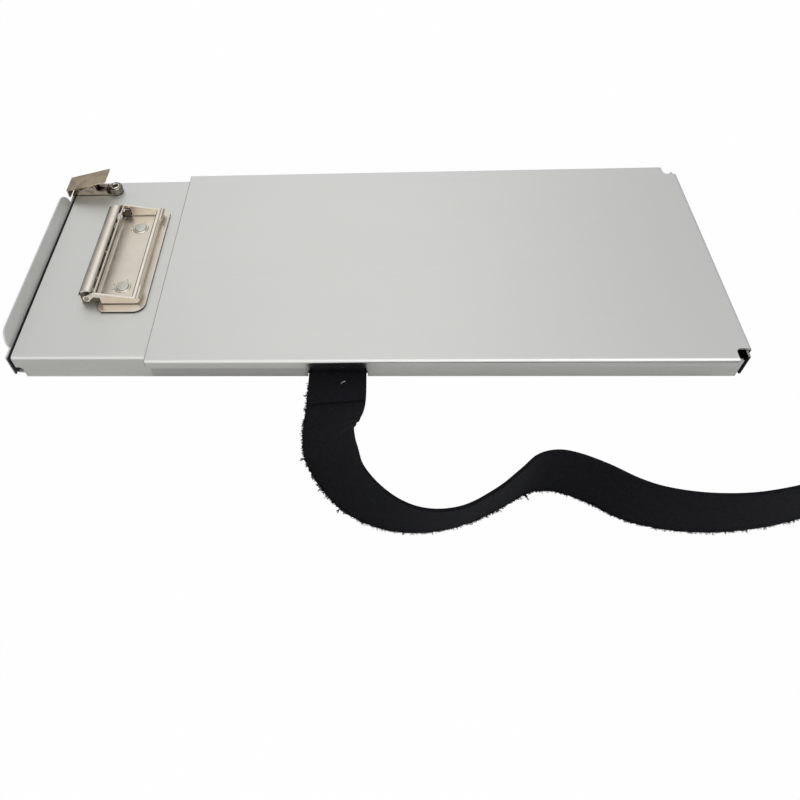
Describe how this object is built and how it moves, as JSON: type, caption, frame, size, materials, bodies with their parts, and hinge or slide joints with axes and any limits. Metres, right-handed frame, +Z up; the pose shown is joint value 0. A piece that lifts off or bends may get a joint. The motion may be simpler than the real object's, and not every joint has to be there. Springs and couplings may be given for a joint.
{
  "type": "storage clipboard box",
  "caption": "Slim aluminium storage clipboard box with a sliding cover, a lever clip, a small corner clip, a leaning finger lip and a hook-and-loop strap.",
  "frame": {"origin": "centre of the box's flat underside, on the surface it rests on", "axes": "+X along the box from the clip end to the closed end, +Z up out of the clip plate"},
  "size_m": [0.4041, 0.2299, 0.0275],
  "materials": {
    "box_sheet": "satin mill-finish sheet",
    "cover_sheet": "satin mill-finish sheet",
    "clip_nickel": "nickel plated pressed steel",
    "corner_nickel": "nickel plated pressed steel, duller",
    "pin_steel": "drawn steel",
    "spring_steel": "oiled spring wire",
    "rivet_aluminium": "set rivet",
    "strap_loop": "black loop pile tape",
    "strap_hook": "black hook tape"
  },
  "bodies": {
    "housing": {"housing_channel": "box_sheet", "floor_pan": "box_sheet", "main_clip_base": "clip_nickel", "main_clip_pin": "pin_steel", "main_clip_springs": "spring_steel", "main_clip_rivets": "rivet_aluminium", "corner_clip_base": "corner_nickel", "corner_clip_pin": "pin_steel", "corner_clip_spring": "spring_steel", "corner_clip_rivet": "rivet_aluminium", "strap": "strap_loop", "strap_root_layer": "strap_loop", "strap_hook_patch": "strap_hook", "strap_washers": "rivet_aluminium", "strap_rivets": "rivet_aluminium"},
    "cover": {"sliding_cover": "cover_sheet", "cover_stop": "box_sheet"},
    "clip_lever": {"main_clip_lever": "clip_nickel"},
    "clip_jaw": {"main_clip_jaw": "clip_nickel"},
    "corner_lever": {"corner_clip_lever": "corner_nickel"}
  },
  "joints": [
    {"name": "cover_slide", "type": "slide", "parent": "housing", "child": "cover", "axis": [1, 0, 0], "range_m": [0, 0.2]},
    {"name": "clip_lever_lift", "type": "hinge", "parent": "housing", "child": "clip_lever", "pos_m": [-0.1406, 0.0013, 0.0185], "axis": [0, -1, 0], "range_deg": [0, 80]},
    {"name": "clip_jaw_open", "type": "hinge", "parent": "housing", "child": "clip_jaw", "pos_m": [-0.1406, 0.0013, 0.0185], "axis": [0, 1, 0], "range_deg": [0, 30], "stiffness_Nm_per_rad": 0.12},
    {"name": "corner_clip_press", "type": "hinge", "parent": "housing", "child": "corner_lever", "pos_m": [-0.1602, 0.06, 0.0187], "axis": [0, 1, 0], "range_deg": [0, 18], "stiffness_Nm_per_rad": 0.06}
  ],
  "couplings": [
    {"joint": "clip_jaw_open", "follows": "clip_lever_lift", "ratio": 0.375}
  ]
}
